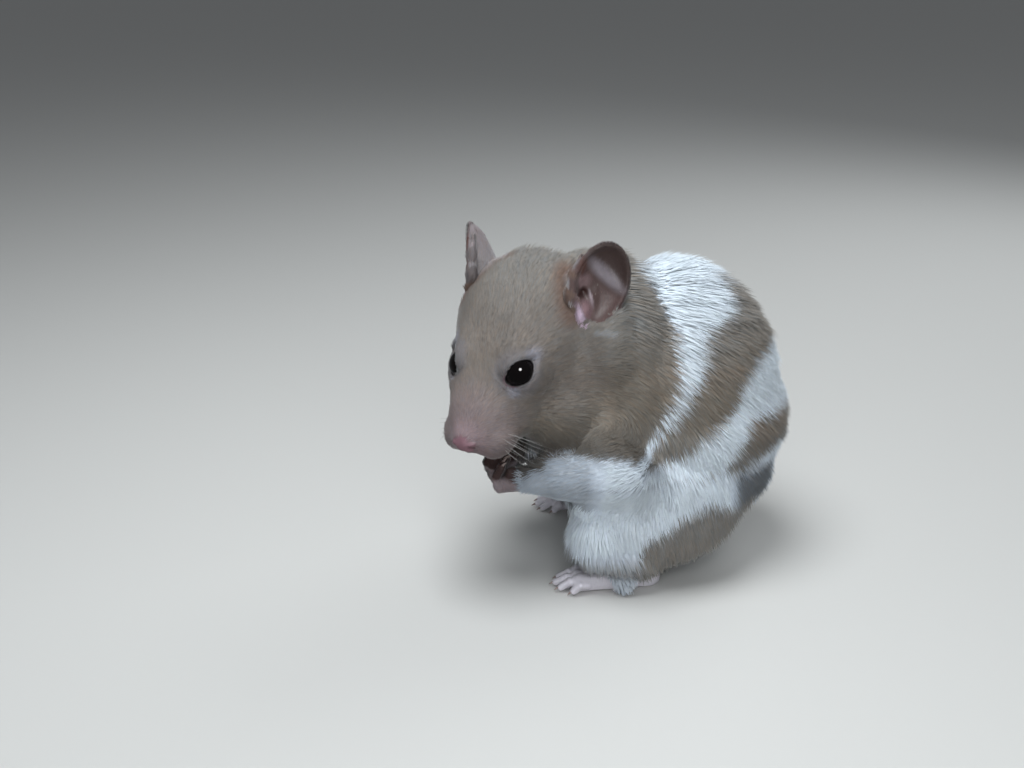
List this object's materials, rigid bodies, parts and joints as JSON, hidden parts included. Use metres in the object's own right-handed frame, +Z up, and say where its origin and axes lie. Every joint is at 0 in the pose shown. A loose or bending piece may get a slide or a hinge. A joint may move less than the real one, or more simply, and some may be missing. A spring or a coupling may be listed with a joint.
{
  "type": "syrian hamster",
  "caption": "Life-size still Syrian hamster sitting on its haunches, head turned to its left and down, forepaws raised to its chin.",
  "frame": {"origin": "on the floor, at the middle of the model's box seen from above", "axes": "+Z up from the floor, -Y the way the trunk faces, +X the animal's left side"},
  "size_m": [0.0596, 0.0848, 0.0844],
  "materials": {
    "coat": "soft plush fur, matte",
    "pale_coat": "soft plush fur, matte",
    "bare_skin": "bare skin, satin",
    "ear_skin": "thin bare skin, satin",
    "eye": "wet gloss",
    "claw": "horn, semi-gloss",
    "whisker": "stiff hair, satin"
  },
  "bodies": {
    "root": {"head": "coat", "neck": "coat", "trunk": "coat", "foreleg_left": "pale_coat", "foreleg_right": "pale_coat", "hindleg_left": "pale_coat", "hindleg_right": "pale_coat", "forepaw_left": "bare_skin", "forepaw_right": "bare_skin", "hindfoot_left": "bare_skin", "hindfoot_right": "bare_skin", "tail": "bare_skin", "ear_left": "ear_skin", "ear_right": "ear_skin", "eye_left": "eye", "eye_right": "eye"}
  },
  "joints": []
}
